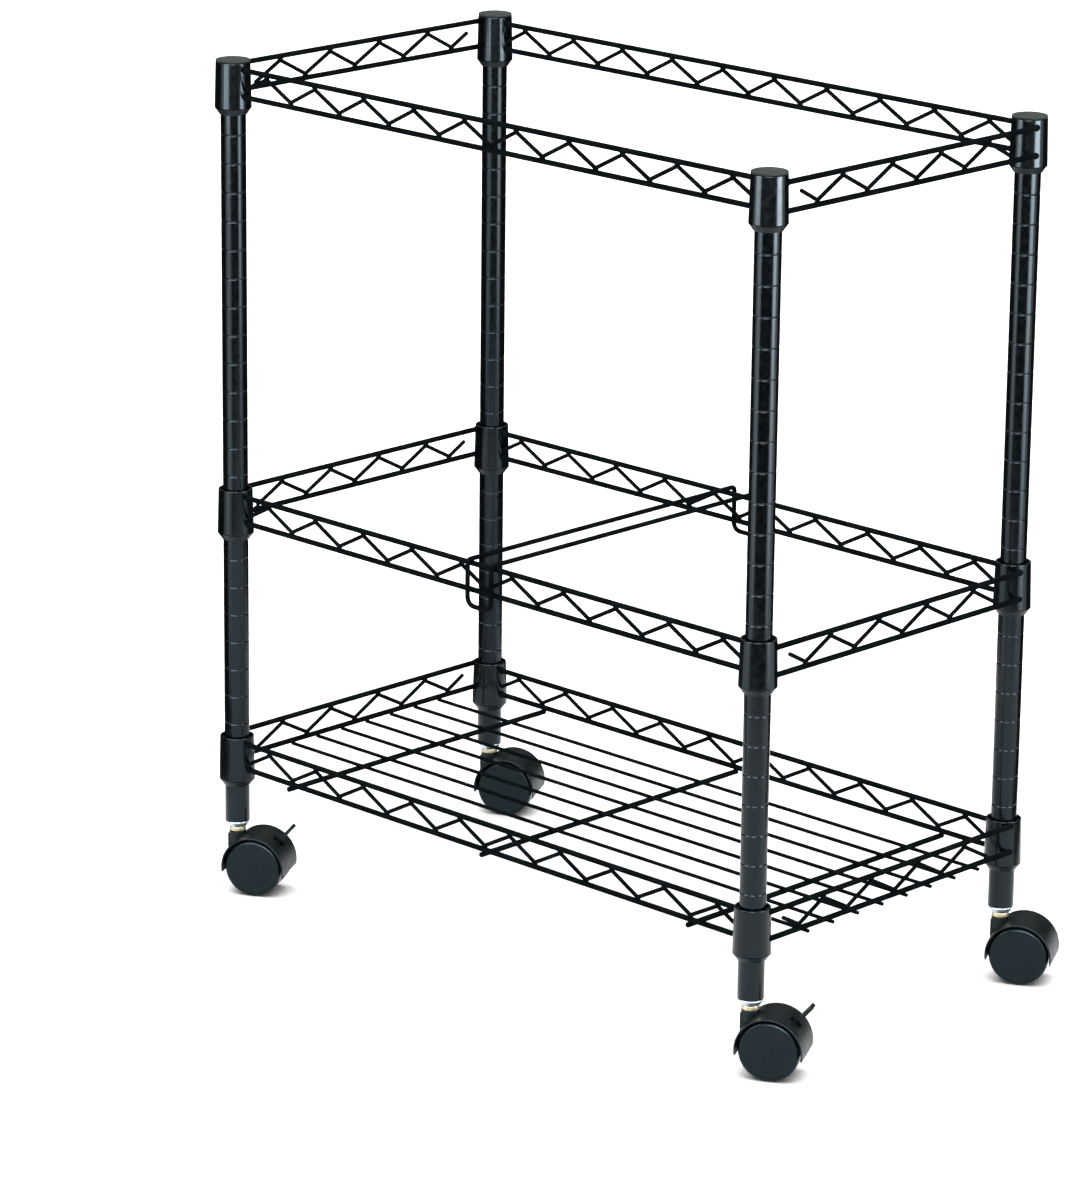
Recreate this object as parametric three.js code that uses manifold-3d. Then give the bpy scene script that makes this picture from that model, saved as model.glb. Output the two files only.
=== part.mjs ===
// Mobile file cart: four grooved posts carry two open file frames and a wire bottom shelf.
// A wire divider slides on the middle frame, and the cart rolls on four hooded twin-wheel casters.
// Millimetres, +Z up, +X along the long side, the front at -Y.
// The origin is on the floor, midway between the four posts.

import * as THREE from 'three';
import { mergeVertices } from 'three/addons/utils/BufferGeometryUtils.js';
import Module from 'manifold-3d';

const wasm = await Module();
wasm.setup();

// Whole cart
const CART_HEIGHT = 756;
const POST_SPAN_X = 621;
const POST_SPAN_Y = 320;
const INCH = 25.4;
const TOP_TO_MIDDLE = 15 * INCH;
const MIDDLE_TO_BOTTOM = 9 * INCH;
const PLAY = 0.3;
const OVERCUT = 2;

// Posts: thin tubes with a ring rolled in at every inch
const POST_RADIUS = 11.3;
const POST_BORE = 9.8;
const POST_SIDES = 8;
const POST_BOTTOM = 65.3;
const GROOVE_DEPTH = 0.5;
const GROOVE_WIDTH = 1.8;

// Corner collars, which flare a little towards the foot, the tapered sleeves inside them, and the post caps
const COLLAR_RIM = 15.4;
const COLLAR_FOOT = 16.4;
const COLLAR_HEIGHT = 40;
const COLLAR_SIDES = 8;
const BORE_TOP = 13.6;
const BORE_BOTTOM = 14.6;
const SLEEVE_BORE = 11.65;
const SLEEVE_RECESS = 3;
const SKIRT_HEIGHT = 7;
const SLEEVE_SLIT = 2;
const CAP_THICKNESS = 1.4;
const CAP_BEVEL = 0.8;
const CAP_PLUG = 8.8;
const CAP_PLUG_DEPTH = 12;

// Wire trusses: two rails with a zigzag between them
const RAIL_RADIUS = 2.4;
const RAIL_SIDES = 6;
const RAIL_GAP = 23.3;
const RAIL_DROP = 6.4;
const ZIGZAG_RADIUS = 1.8;
const ZIGZAG_SIDES = 4;
const ZIGZAG_PITCH = 60;
const LONG_PEAKS = 10;
const LONG_PEAK_SHIFT = 2;
const SHORT_VALLEYS = 5;
const SHORT_VALLEY_SHIFT = 2;
const SHORT_RAIL_OUTSET = 13.5;
const SHORT_RAIL_END = 5.8;
const FREE_END_SHARE = 2 / 3;
const WELD = 0.5;

// Bottom shelf floor
const DECK_WIRES = 8;
const DECK_PITCH = 31;
const DECK_RADIUS = 1.9;
const DECK_SIDES = 4;
const CROSS_WIRES = 3;
const CROSS_PITCH = 241;
const CROSS_RADIUS = 2.25;
const WIRE_TICK = 3;
const SHELF_END_LIFT = 3;

// Sliding divider: one closed wire loop folded down over the long rails
const DIVIDER_RADIUS = 2.1;
const DIVIDER_WIDTH = 28;
const DIVIDER_DROP = 40;
const DIVIDER_BEND = 9;
const DIVIDER_FOLD = 4;
const DIVIDER_SIDES = 6;
const DIVIDER_OVERLAP = 1;
const DIVIDER_STEPS = 2;

// Casters
const WHEEL_RADIUS = 26;
const WHEEL_SIDES = 16;
const WHEEL_INNER = 5.5;
const WHEEL_OUTER = 20;
const WHEEL_EDGE = 2.5;
const WHEEL_FACE = 3;
const TRAIL = 20;
const CASTER_TURN = THREE.MathUtils.degToRad(29);
const HOOD_RADIUS = 29.3;
const HOOD_WALL = 1.7;
const HOOD_HALF_WIDTH = 21;
const HOOD_DIP = 10;
const HOOD_STEPS = 4;
const HUB_RADIUS = 8;
const WEB_HALF = 5;
const WEB_REAR = 15;
const WEB_STEPS = 3;
const NECK_RADIUS = 7.6;
const NECK_TOP = 55.4;
const NECK_FOOT = 49.6;
const STEM_RADIUS = 3.9;
const STEM_TOP = 80;
const STEM_FOOT = 43;
const SHOULDER_RADIUS = 7.8;
const SHOULDER_TOP = 59.5;
const SHOULDER_FOOT = 55.7;
const INSERT_FOOT = 59.8;
const STEM_HOLE = 4.3;
const INSERT_LIP = 11;
const INSERT_LIP_FOOT = 8.4;
const INSERT_PLUG = 8.8;
const INSERT_PLUG_TOP = 84;
const AXLE_RADIUS = 3;
const AXLE_CLEARANCE = 0.3;
const AXLE_SIDES = 6;
const SMALL_SIDES = 8;

// Brake pedal on the two front casters
const PEDAL_ANGLE = 49;
const PEDAL_PIVOT = 21;
const PEDAL_TIP = 49.5;
const PEDAL_INNER = 15;
const PEDAL_SHOULDER = 33;
const PEDAL_HALF = 6;
const PEDAL_STALK_HALF = 3.2;
const PEDAL_THICKNESS = 3.2;
const PEDAL_PIN = 1.8;
const PEDAL_PIN_HALF = 4.7;
const PEDAL_STEPS = 2;
const POCKET_HALF = 3.6;
const POCKET_LOW = 22;
const POCKET_HIGH = 68;
const POCKET_INNER = 12.5;
const POCKET_STEPS = 2;

const COLLAR_TOP = CART_HEIGHT - CAP_THICKNESS - PLAY;
const TIER_RIM = {
  top: COLLAR_TOP,
  middle: COLLAR_TOP - TOP_TO_MIDDLE,
  bottom: COLLAR_TOP - TOP_TO_MIDDLE - MIDDLE_TO_BOTTOM,
};
const CORNERS = {
  front_left: [-POST_SPAN_X / 2, -POST_SPAN_Y / 2],
  front_right: [POST_SPAN_X / 2, -POST_SPAN_Y / 2],
  rear_right: [POST_SPAN_X / 2, POST_SPAN_Y / 2],
  rear_left: [-POST_SPAN_X / 2, POST_SPAN_Y / 2],
};

// Finishes
const finish = (color, roughness, metalness) => (
  () => new THREE.MeshStandardMaterial({ color, roughness, metalness })
);
const coatedSteel = finish(0x1c2023, 0.38, 0.35);
const blackPlastic = finish(0x181b1d, 0.5, 0);
const wheelPlastic = finish(0x262c30, 0.55, 0);
const zincSteel = finish(0xcfd3d6, 0.28, 1);
const yellowZinc = finish(0xc3ab72, 0.32, 1);

// Solids: turn a closed geometry into something that can be joined and cut, and back

function solid(geometry) {
  const bare = geometry.clone();
  for (const name of Object.keys(bare.attributes)) {
    if (name !== 'position') bare.deleteAttribute(name);
  }
  const merged = mergeVertices(bare, 1e-4);
  return new wasm.Manifold(new wasm.Mesh({
    numProp: 3,
    vertProperties: new Float32Array(merged.attributes.position.array),
    triVerts: new Uint32Array(merged.index.array),
  }));
}

function surface(body) {
  const mesh = body.getMesh();
  const geometry = new THREE.BufferGeometry();
  geometry.setAttribute('position', new THREE.BufferAttribute(mesh.vertProperties, 3));
  geometry.setIndex(new THREE.BufferAttribute(mesh.triVerts, 1));
  geometry.computeVertexNormals();
  return geometry;
}

const join = (geometries) => geometries.map(solid).reduce((sum, body) => sum.add(body));
const cut = (body, geometries) => geometries.map(solid).reduce((rest, tool) => rest.subtract(tool), body);

// Basic forms

// A turned form about Z from (radius, height) points, with a flat of the polygon facing +X
function turned(points, sides) {
  const profile = points.map(([radius, height]) => new THREE.Vector2(radius, height));
  const geometry = new THREE.LatheGeometry(profile, sides, Math.PI / sides);
  geometry.rotateX(Math.PI / 2);
  return geometry;
}

const ring = (points, sides) => turned([...points, points[0]], sides);

// A plain or tapered rod about Z
function rod(lowRadius, highRadius, low, high, sides) {
  return turned([[0, low], [lowRadius, low], [highRadius, high], [0, high]], sides);
}

// A straight round wire along X or Y, with flats facing up and down
function wire(axis, length, radius, sides, at) {
  const geometry = new THREE.CylinderGeometry(radius, radius, length, sides);
  geometry.rotateY(Math.PI / sides);
  if (axis === 'x') geometry.rotateZ(-Math.PI / 2);
  geometry.translate(...at);
  return geometry;
}

// A path through corner points that gives a swept wire one ring of points at each corner
class CornerPath extends THREE.Curve {
  constructor(points) {
    super();
    this.corners = points.map((point) => new THREE.Vector3(...point));
  }

  getPointAt(share) {
    const place = share * (this.corners.length - 1);
    const index = Math.min(Math.floor(place), this.corners.length - 2);
    return this.corners[index].clone().lerp(this.corners[index + 1], place - index);
  }

  getTangentAt(share) {
    const index = Math.round(share * (this.corners.length - 1));
    const tangent = new THREE.Vector3();
    for (const start of [index - 1, index]) {
      if (start < 0 || start > this.corners.length - 2) continue;
      tangent.add(this.corners[start + 1].clone().sub(this.corners[start]).normalize());
    }
    return tangent.normalize();
  }
}

// A wire bent at the given points
function bentWire(points, radius, sides) {
  const section = new THREE.Shape();
  for (let i = 0; i < sides; i += 1) {
    const angle = (2 * Math.PI * i) / sides;
    if (i === 0) section.moveTo(radius, 0);
    else section.lineTo(radius * Math.cos(angle), radius * Math.sin(angle));
  }
  const extrudePath = new CornerPath(points);
  return new THREE.ExtrudeGeometry(section, { steps: points.length - 1, extrudePath });
}

// A side view in the caster's own plane, extruded across its axle
function slab(shape, low, high, curveSegments) {
  const depth = high - low;
  const geometry = new THREE.ExtrudeGeometry(shape, { depth, bevelEnabled: false, curveSegments });
  geometry.rotateX(Math.PI / 2);
  geometry.translate(0, high, 0);
  return geometry;
}

// Trusses

const peakHeight = (upper) => upper - RAIL_RADIUS * Math.cos(Math.PI / RAIL_SIDES) - ZIGZAG_RADIUS + WELD;
const valleyHeight = (lower) => lower + RAIL_RADIUS * Math.cos(Math.PI / RAIL_SIDES) + ZIGZAG_RADIUS - WELD;

// How long a rail is that butts against the flats of two collars, at a height above the lower rail
function railLength(height) {
  const share = (RAIL_GAP + RAIL_DROP - height) / COLLAR_HEIGHT;
  const corner = THREE.MathUtils.lerp(COLLAR_RIM, COLLAR_FOOT, share);
  return POST_SPAN_X - 2 * (corner * Math.cos(Math.PI / COLLAR_SIDES) + PLAY);
}

function longTruss() {
  const [upper, lower] = [RAIL_GAP, 0];
  const length = railLength(lower);
  const firstPeak = -((LONG_PEAKS - 1) * ZIGZAG_PITCH) / 2 + LONG_PEAK_SHIFT;
  const lastPeak = firstPeak + (LONG_PEAKS - 1) * ZIGZAG_PITCH;
  const slope = (peakHeight(upper) - valleyHeight(lower)) / (ZIGZAG_PITCH / 2);
  const endPoint = (peak, end) => [end, 0, peakHeight(upper) - slope * Math.abs(end - peak)];
  const corners = [endPoint(firstPeak, -length / 2 + ZIGZAG_RADIUS)];
  for (let i = 0; i < 2 * LONG_PEAKS - 1; i += 1) {
    const height = i % 2 === 0 ? peakHeight(upper) : valleyHeight(lower);
    corners.push([firstPeak + (i * ZIGZAG_PITCH) / 2, 0, height]);
  }
  corners.push(endPoint(lastPeak, length / 2 - ZIGZAG_RADIUS));
  return surface(join([
    wire('x', railLength(upper), RAIL_RADIUS, RAIL_SIDES, [0, 0, upper]),
    wire('x', length, RAIL_RADIUS, RAIL_SIDES, [0, 0, lower]),
    bentWire(corners, ZIGZAG_RADIUS, ZIGZAG_SIDES),
  ]));
}

// The end frame: two collars with the short truss welded along their outer faces.
// The truss lies along X here, with its outside towards -Y.
function endFrame(lift) {
  const [upper, lower] = [RAIL_GAP + lift, lift];
  const rim = RAIL_GAP + RAIL_DROP;
  const length = POST_SPAN_Y - 2 * SHORT_RAIL_END;
  const firstValley = -((SHORT_VALLEYS - 1) * ZIGZAG_PITCH) / 2 + SHORT_VALLEY_SHIFT;
  const freeEnd = [
    firstValley - (FREE_END_SHARE * ZIGZAG_PITCH) / 2,
    -SHORT_RAIL_OUTSET,
    THREE.MathUtils.lerp(valleyHeight(lower), peakHeight(upper), FREE_END_SHARE),
  ];
  const corners = [freeEnd];
  for (let i = 0; i < 2 * SHORT_VALLEYS - 1; i += 1) {
    const height = i % 2 === 0 ? valleyHeight(lower) : peakHeight(upper);
    corners.push([firstValley + (i * ZIGZAG_PITCH) / 2, -SHORT_RAIL_OUTSET, height]);
  }
  const foot = rim - COLLAR_HEIGHT;
  const collar = (x) => rod(COLLAR_FOOT, COLLAR_RIM, foot, rim, COLLAR_SIDES).translate(x, 0, 0);
  const taper = ((BORE_BOTTOM - BORE_TOP) * OVERCUT) / COLLAR_HEIGHT;
  const bore = (x) => (
    rod(BORE_BOTTOM + taper, BORE_TOP - taper, foot - OVERCUT, rim + OVERCUT, COLLAR_SIDES).translate(x, 0, 0)
  );
  const ends = [-POST_SPAN_Y / 2, POST_SPAN_Y / 2];
  const welded = join([
    ...ends.map(collar),
    wire('x', length, RAIL_RADIUS, RAIL_SIDES, [0, -SHORT_RAIL_OUTSET, upper]),
    wire('x', length, RAIL_RADIUS, RAIL_SIDES, [0, -SHORT_RAIL_OUTSET, lower]),
    bentWire(corners, ZIGZAG_RADIUS, ZIGZAG_SIDES),
  ]);
  return surface(cut(welded, ends.map(bore)));
}

// The floor of the bottom shelf, with its deck wires along X resting on three cross wires
function shelfGrid() {
  const crossTop = CROSS_RADIUS * Math.cos(Math.PI / RAIL_SIDES);
  const deckHeight = crossTop + DECK_RADIUS * Math.cos(Math.PI / DECK_SIDES) - WELD;
  const deckLength = POST_SPAN_X + 2 * (SHORT_RAIL_OUTSET + WIRE_TICK);
  const crossLength = POST_SPAN_Y + 2 * WIRE_TICK;
  const wires = [];
  for (let i = 0; i < DECK_WIRES; i += 1) {
    const y = (i - (DECK_WIRES - 1) / 2) * DECK_PITCH;
    wires.push(wire('x', deckLength, DECK_RADIUS, DECK_SIDES, [0, y, deckHeight]));
  }
  for (let i = 0; i < CROSS_WIRES; i += 1) {
    const x = (i - (CROSS_WIRES - 1) / 2) * CROSS_PITCH;
    wires.push(wire('y', crossLength, CROSS_RADIUS, RAIL_SIDES, [x, 0, 0]));
  }
  return surface(join(wires));
}

// Posts, sleeves and caps

// The grooves that show: one at every inch, half an inch off the rims,
// from below a collar's skirt down to the next rim
function grooveHeights() {
  const heights = [];
  const hidden = COLLAR_HEIGHT + SKIRT_HEIGHT;
  for (const [high, low] of [[TIER_RIM.top, TIER_RIM.middle], [TIER_RIM.middle, TIER_RIM.bottom]]) {
    for (let z = high - INCH / 2; z > low; z -= INCH) {
      if (z < high - hidden) heights.push(z);
    }
  }
  return heights;
}

function post() {
  const outline = [[POST_BORE, POST_BOTTOM], [POST_RADIUS, POST_BOTTOM]];
  for (const z of grooveHeights().reverse()) {
    outline.push([POST_RADIUS, z - GROOVE_WIDTH / 2]);
    outline.push([POST_RADIUS - GROOVE_DEPTH, z]);
    outline.push([POST_RADIUS, z + GROOVE_WIDTH / 2]);
  }
  outline.push([POST_RADIUS, COLLAR_TOP], [POST_BORE, COLLAR_TOP]);
  return ring(outline, POST_SIDES);
}

// The sleeve is split down one side, and its flared skirt carries the collar
function sleeve() {
  const foot = -COLLAR_HEIGHT - PLAY;
  const whole = ring([
    [SLEEVE_BORE, foot - SKIRT_HEIGHT],
    [COLLAR_FOOT, foot],
    [BORE_BOTTOM - PLAY, foot],
    [BORE_TOP - PLAY, -SLEEVE_RECESS],
    [SLEEVE_BORE, -SLEEVE_RECESS],
  ], COLLAR_SIDES);
  const slitDepth = COLLAR_FOOT + OVERCUT;
  const slit = new THREE.BoxGeometry(SLEEVE_SLIT, slitDepth, 2 * COLLAR_HEIGHT);
  slit.translate(0, slitDepth / 2, -COLLAR_HEIGHT / 2);
  return surface(cut(solid(whole), [slit]));
}

function cap() {
  return turned([
    [0, CART_HEIGHT - CAP_THICKNESS - CAP_PLUG_DEPTH],
    [CAP_PLUG, CART_HEIGHT - CAP_THICKNESS - CAP_PLUG_DEPTH],
    [CAP_PLUG, CART_HEIGHT - CAP_THICKNESS],
    [COLLAR_RIM, CART_HEIGHT - CAP_THICKNESS],
    [COLLAR_RIM, CART_HEIGHT - CAP_BEVEL],
    [COLLAR_RIM - CAP_BEVEL, CART_HEIGHT],
    [0, CART_HEIGHT],
  ], COLLAR_SIDES);
}

// Divider

// Half of the loop: in along one side's rail, down over the truss, round, and back up
function dividerHalf(side) {
  const railTop = RAIL_RADIUS * Math.cos(Math.PI / RAIL_SIDES);
  const height = railTop + PLAY + DIVIDER_RADIUS;
  const reach = side * (POST_SPAN_Y / 2 + railTop + 2 * PLAY + DIVIDER_RADIUS + DIVIDER_FOLD / 2);
  const foot = height - DIVIDER_DROP;
  const half = DIVIDER_WIDTH / 2;
  const down = [
    [half, -side * DIVIDER_OVERLAP, height],
  ];
  for (let i = 0; i <= DIVIDER_STEPS; i += 1) {
    const angle = ((Math.PI / 2) * i) / DIVIDER_STEPS;
    down.push([
      half,
      reach - side * DIVIDER_FOLD * (1 - Math.sin(angle)),
      height - DIVIDER_FOLD * (1 - Math.cos(angle)),
    ]);
  }
  for (let i = 0; i <= DIVIDER_STEPS; i += 1) {
    const angle = ((Math.PI / 2) * i) / DIVIDER_STEPS;
    down.push([
      half - DIVIDER_BEND * (1 - Math.cos(angle)),
      reach,
      foot + DIVIDER_BEND * (1 - Math.sin(angle)),
    ]);
  }
  const up = down.map(([x, y, z]) => [-x, y, z]).reverse();
  return bentWire([...down, ...up], DIVIDER_RADIUS, DIVIDER_SIDES);
}

const divider = () => surface(join([dividerHalf(-1), dividerHalf(1)]));

// Casters, each built with its stem on Z, its wheels trailing towards +X and its axle along Y

function insert() {
  return ring([
    [STEM_HOLE, INSERT_FOOT],
    [INSERT_LIP_FOOT, INSERT_FOOT],
    [INSERT_LIP, POST_BOTTOM - PLAY],
    [INSERT_PLUG, POST_BOTTOM - PLAY],
    [INSERT_PLUG, INSERT_PLUG_TOP],
    [STEM_HOLE, INSERT_PLUG_TOP],
  ], SMALL_SIDES);
}

function stem() {
  return turned([
    [0, STEM_FOOT],
    [STEM_RADIUS, STEM_FOOT],
    [STEM_RADIUS, SHOULDER_FOOT],
    [SHOULDER_RADIUS, SHOULDER_FOOT],
    [SHOULDER_RADIUS, SHOULDER_TOP],
    [STEM_RADIUS, SHOULDER_TOP],
    [STEM_RADIUS, STEM_TOP],
    [0, STEM_TOP],
  ], SMALL_SIDES);
}

const radians = THREE.MathUtils.degToRad;
const aboutAxle = (radius, angle) => [
  TRAIL + radius * Math.cos(radians(angle)),
  WHEEL_RADIUS + radius * Math.sin(radians(angle)),
];

// A sector of a ring about the axle, seen from the side
function sector(inner, outer, low, high) {
  const shape = new THREE.Shape();
  shape.moveTo(...aboutAxle(outer, low));
  shape.absarc(TRAIL, WHEEL_RADIUS, outer, radians(low), radians(high), false);
  shape.lineTo(...aboutAxle(inner, high));
  shape.absarc(TRAIL, WHEEL_RADIUS, inner, radians(high), radians(low), true);
  shape.closePath();
  return shape;
}

function disc(radius, [x, z]) {
  const shape = new THREE.Shape();
  shape.absarc(x, z, radius, 0, 2 * Math.PI, false);
  return shape;
}

// The web between the wheels, with the neck above it, seen from the side
function webOutline() {
  const reach = HOOD_RADIUS - HOOD_WALL / 2;
  const front = THREE.MathUtils.radToDeg(Math.acos(-(TRAIL + NECK_RADIUS) / reach));
  const arc = (shape, radius, from, to) => {
    shape.absarc(TRAIL, WHEEL_RADIUS, radius, radians(from), radians(to), true);
  };
  const shape = new THREE.Shape();
  shape.moveTo(-NECK_RADIUS, NECK_TOP);
  shape.lineTo(0, NECK_TOP);
  arc(shape, reach, 90, WEB_REAR);
  arc(shape, HUB_RADIUS, WEB_REAR, -180 + HOOD_DIP);
  arc(shape, reach, 180 + HOOD_DIP, front);
  shape.closePath();
  return shape;
}

// The hood: an arch over both wheels, a web between them, and a neck round the stem
function hood(hasBrake) {
  const arch = sector(HOOD_RADIUS - HOOD_WALL, HOOD_RADIUS, -HOOD_DIP, 180 + HOOD_DIP);
  const body = join([
    slab(arch, -HOOD_HALF_WIDTH, HOOD_HALF_WIDTH, HOOD_STEPS),
    slab(webOutline(), -WEB_HALF, WEB_HALF, WEB_STEPS),
    rod(NECK_RADIUS, NECK_RADIUS, NECK_FOOT, NECK_TOP, SMALL_SIDES),
  ]);
  const across = (shape) => slab(shape, -WEB_HALF - OVERCUT, WEB_HALF + OVERCUT, SMALL_SIDES / 2);
  const holes = [
    rod(STEM_HOLE, STEM_HOLE, STEM_FOOT - PLAY, NECK_TOP + OVERCUT, SMALL_SIDES),
    across(disc(AXLE_RADIUS + AXLE_CLEARANCE, aboutAxle(0, 0))),
  ];
  if (hasBrake) {
    const pocket = sector(POCKET_INNER, HOOD_RADIUS + OVERCUT, POCKET_LOW, POCKET_HIGH);
    holes.push(slab(pocket, -POCKET_HALF, POCKET_HALF, POCKET_STEPS));
    holes.push(across(disc(PEDAL_PIN + PLAY, aboutAxle(PEDAL_PIVOT, PEDAL_ANGLE))));
  }
  return surface(cut(body, holes));
}

// A wheel is a plain disc with a rounded outer edge, bored from its inner side.
// A flat of its tread stands on the floor.
function wheel(side) {
  const tread = WHEEL_RADIUS / Math.cos(Math.PI / WHEEL_SIDES);
  const blank = turned([
    [0, WHEEL_INNER],
    [tread, WHEEL_INNER],
    [tread, WHEEL_OUTER - WHEEL_EDGE],
    [tread - WHEEL_EDGE, WHEEL_OUTER],
    [0, WHEEL_OUTER],
  ], WHEEL_SIDES);
  const bore = AXLE_RADIUS + AXLE_CLEARANCE;
  const hole = rod(bore, bore, WHEEL_INNER - OVERCUT, WHEEL_OUTER - WHEEL_FACE, SMALL_SIDES);
  const geometry = surface(cut(solid(blank), [hole]));
  geometry.rotateX(side > 0 ? -Math.PI / 2 : Math.PI / 2);
  geometry.translate(TRAIL, 0, WHEEL_RADIUS);
  return geometry;
}

function axle() {
  const length = 2 * (WHEEL_OUTER - WHEEL_FACE - PLAY);
  return wire('y', length, AXLE_RADIUS, AXLE_SIDES, [TRAIL, 0, WHEEL_RADIUS]);
}

// The brake pedal: a stalk on a cross pin, widening to a thin rounded foot plate
function pedal() {
  const [inner, neck] = [PEDAL_INNER - PEDAL_PIVOT, PEDAL_SHOULDER - PEDAL_PIVOT];
  const tip = PEDAL_TIP - PEDAL_PIVOT;
  const corner = PEDAL_HALF / 2;
  const outline = new THREE.Shape();
  outline.moveTo(inner, -PEDAL_STALK_HALF);
  outline.lineTo(neck - corner, -PEDAL_STALK_HALF);
  outline.lineTo(neck, -PEDAL_HALF);
  outline.lineTo(tip - corner, -PEDAL_HALF);
  outline.absarc(tip - corner, -PEDAL_HALF + corner, corner, -Math.PI / 2, 0, false);
  outline.absarc(tip - corner, PEDAL_HALF - corner, corner, 0, Math.PI / 2, false);
  outline.lineTo(neck, PEDAL_HALF);
  outline.lineTo(neck - corner, PEDAL_STALK_HALF);
  outline.lineTo(inner, PEDAL_STALK_HALF);
  outline.closePath();
  const plate = new THREE.ExtrudeGeometry(outline, {
    depth: PEDAL_THICKNESS,
    bevelEnabled: false,
    curveSegments: PEDAL_STEPS,
  });
  plate.translate(0, 0, -PEDAL_THICKNESS / 2);
  const pin = wire('y', 2 * PEDAL_PIN_HALF, PEDAL_PIN, SMALL_SIDES, [0, 0, 0]);
  const geometry = surface(join([plate, pin]));
  geometry.rotateY(-radians(PEDAL_ANGLE));
  const [x, z] = aboutAxle(PEDAL_PIVOT, PEDAL_ANGLE);
  geometry.translate(x, 0, z);
  return geometry;
}

// Assembly

const cart = new THREE.Group();

function place(parent, name, geometry, material, [x, y, z] = [0, 0, 0], turn = 0) {
  const mesh = new THREE.Mesh(geometry, material);
  mesh.name = name;
  mesh.position.set(x, y, z);
  mesh.rotation.z = turn;
  parent.add(mesh);
}

const shapes = {
  post: post(),
  sleeve: sleeve(),
  cap: cap(),
  longTruss: longTruss(),
  endFrame: endFrame(0),
  shelfEndFrame: endFrame(SHELF_END_LIFT),
  insert: insert(),
  stem: stem(),
  axle: axle(),
  pedal: pedal(),
};

for (const [corner, [x, y]] of Object.entries(CORNERS)) {
  place(cart, `post_${corner}`, shapes.post, coatedSteel(), [x, y, 0]);
  place(cart, `post_cap_${corner}`, shapes.cap, blackPlastic(), [x, y, 0]);
  place(cart, `post_insert_${corner}`, shapes.insert, zincSteel(), [x, y, 0]);
}

for (const [tier, rim] of Object.entries(TIER_RIM)) {
  const lower = rim - RAIL_DROP - RAIL_GAP;
  const ends = tier === 'bottom' ? shapes.shelfEndFrame : shapes.endFrame;
  place(cart, `${tier}_front_truss`, shapes.longTruss, coatedSteel(), [0, -POST_SPAN_Y / 2, lower]);
  place(cart, `${tier}_rear_truss`, shapes.longTruss, coatedSteel(), [0, POST_SPAN_Y / 2, lower], Math.PI);
  place(cart, `${tier}_right_end_frame`, ends, coatedSteel(), [POST_SPAN_X / 2, 0, lower], Math.PI / 2);
  place(cart, `${tier}_left_end_frame`, ends, coatedSteel(), [-POST_SPAN_X / 2, 0, lower], -Math.PI / 2);
  for (const [corner, [x, y]] of Object.entries(CORNERS)) {
    const turn = (Math.sign(x) * Math.PI) / 2;
    place(cart, `${tier}_sleeve_${corner}`, shapes.sleeve, blackPlastic(), [x, y, rim], turn);
  }
}

const shelfRail = TIER_RIM.bottom - RAIL_DROP - RAIL_GAP;
const gridDrop = (RAIL_RADIUS + CROSS_RADIUS) * Math.cos(Math.PI / RAIL_SIDES) + PLAY;
place(cart, 'bottom_shelf_grid', shelfGrid(), coatedSteel(), [0, 0, shelfRail - gridDrop]);
place(cart, 'file_divider', divider(), coatedSteel(), [0, 0, TIER_RIM.middle - RAIL_DROP]);

for (const [corner, [x, y]] of Object.entries(CORNERS)) {
  const caster = new THREE.Group();
  caster.position.set(x, y, 0);
  caster.rotation.z = CASTER_TURN;
  const braked = corner.startsWith('front');
  place(caster, `caster_stem_${corner}`, shapes.stem, yellowZinc());
  place(caster, `caster_hood_${corner}`, hood(braked), blackPlastic());
  place(caster, `caster_axle_${corner}`, shapes.axle, zincSteel());
  place(caster, `caster_wheel_near_${corner}`, wheel(-1), wheelPlastic());
  place(caster, `caster_wheel_far_${corner}`, wheel(1), wheelPlastic());
  if (braked) place(caster, `brake_pedal_${corner}`, shapes.pedal, blackPlastic());
  cart.add(caster);
}

export default cart;
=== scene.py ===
# %% [markdown]
# # A mobile file cart
# The cart is a black wire frame. Four grooved posts carry two open file frames and a wire shelf, and it rolls
# on four small casters. The CAD model already holds the place of every piece and every joint, so it is loaded
# first, as a fixed frame. The finer meshes below are laid over it, and each one rides on the body it belongs to.

# %% Load the frame
import math
import bmesh
import bpy
from mathutils import Matrix, Vector


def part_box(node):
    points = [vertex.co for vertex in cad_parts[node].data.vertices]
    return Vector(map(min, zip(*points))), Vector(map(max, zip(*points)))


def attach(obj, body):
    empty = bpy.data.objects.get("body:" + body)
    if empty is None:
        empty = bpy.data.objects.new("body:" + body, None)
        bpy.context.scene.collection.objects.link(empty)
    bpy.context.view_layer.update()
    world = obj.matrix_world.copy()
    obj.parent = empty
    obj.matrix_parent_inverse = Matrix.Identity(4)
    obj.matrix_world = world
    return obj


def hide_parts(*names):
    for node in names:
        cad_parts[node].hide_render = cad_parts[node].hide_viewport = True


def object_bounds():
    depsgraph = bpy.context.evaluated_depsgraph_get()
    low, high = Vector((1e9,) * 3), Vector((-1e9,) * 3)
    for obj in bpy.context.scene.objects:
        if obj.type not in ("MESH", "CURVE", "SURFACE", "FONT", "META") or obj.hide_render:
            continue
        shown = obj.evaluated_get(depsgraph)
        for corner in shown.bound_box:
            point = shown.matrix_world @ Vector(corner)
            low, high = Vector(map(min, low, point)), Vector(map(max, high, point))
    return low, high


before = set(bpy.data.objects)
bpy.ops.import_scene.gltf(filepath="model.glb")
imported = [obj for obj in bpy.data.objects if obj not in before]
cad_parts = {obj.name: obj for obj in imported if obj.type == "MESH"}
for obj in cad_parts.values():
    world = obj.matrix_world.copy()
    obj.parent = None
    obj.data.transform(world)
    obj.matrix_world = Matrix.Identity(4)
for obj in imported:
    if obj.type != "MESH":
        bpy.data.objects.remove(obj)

cad_low, cad_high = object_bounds()
print("frame:", len(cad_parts), "nodes, box in mm", [round(1000 * side) for side in cad_high - cad_low])

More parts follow.
